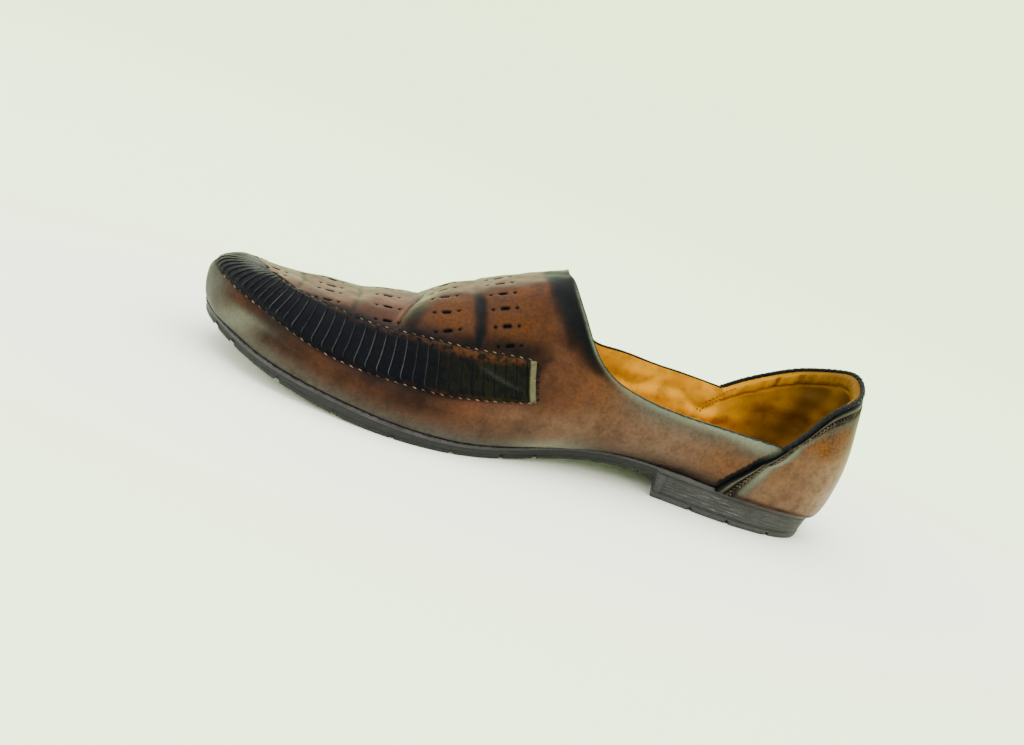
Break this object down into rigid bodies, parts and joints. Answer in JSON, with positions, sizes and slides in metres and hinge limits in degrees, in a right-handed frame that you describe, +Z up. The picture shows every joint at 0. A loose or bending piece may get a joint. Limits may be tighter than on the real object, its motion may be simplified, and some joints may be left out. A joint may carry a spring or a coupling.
{
  "type": "loafer",
  "caption": "Slip-on leather loafer for the right foot, with a ribbed apron band, low quarters, a wrap-round heel counter and a moulded sole with a low heel.",
  "frame": {"origin": "middle of the shoe's bounding box in plan, on the floor that the shoe stands on", "axes": "+Z up; the toe points along -X and the heel along +X; the inner (big-toe) side faces -Y"},
  "size_m": [0.3003, 0.1054, 0.0786],
  "materials": {
    "vamp_leather": "burnished, semi-gloss",
    "pleated_leather": "burnished black, semi-gloss",
    "piping_leather": "smooth black, semi-gloss",
    "lining_leather": "soft matt",
    "sole_rubber": "moulded, matt"
  },
  "bodies": {
    "root": {"outsole": "sole_rubber", "upper": "vamp_leather", "insole": "lining_leather", "heel_counter": "vamp_leather", "apron_band": "pleated_leather", "counter_piping": "piping_leather"}
  },
  "joints": []
}
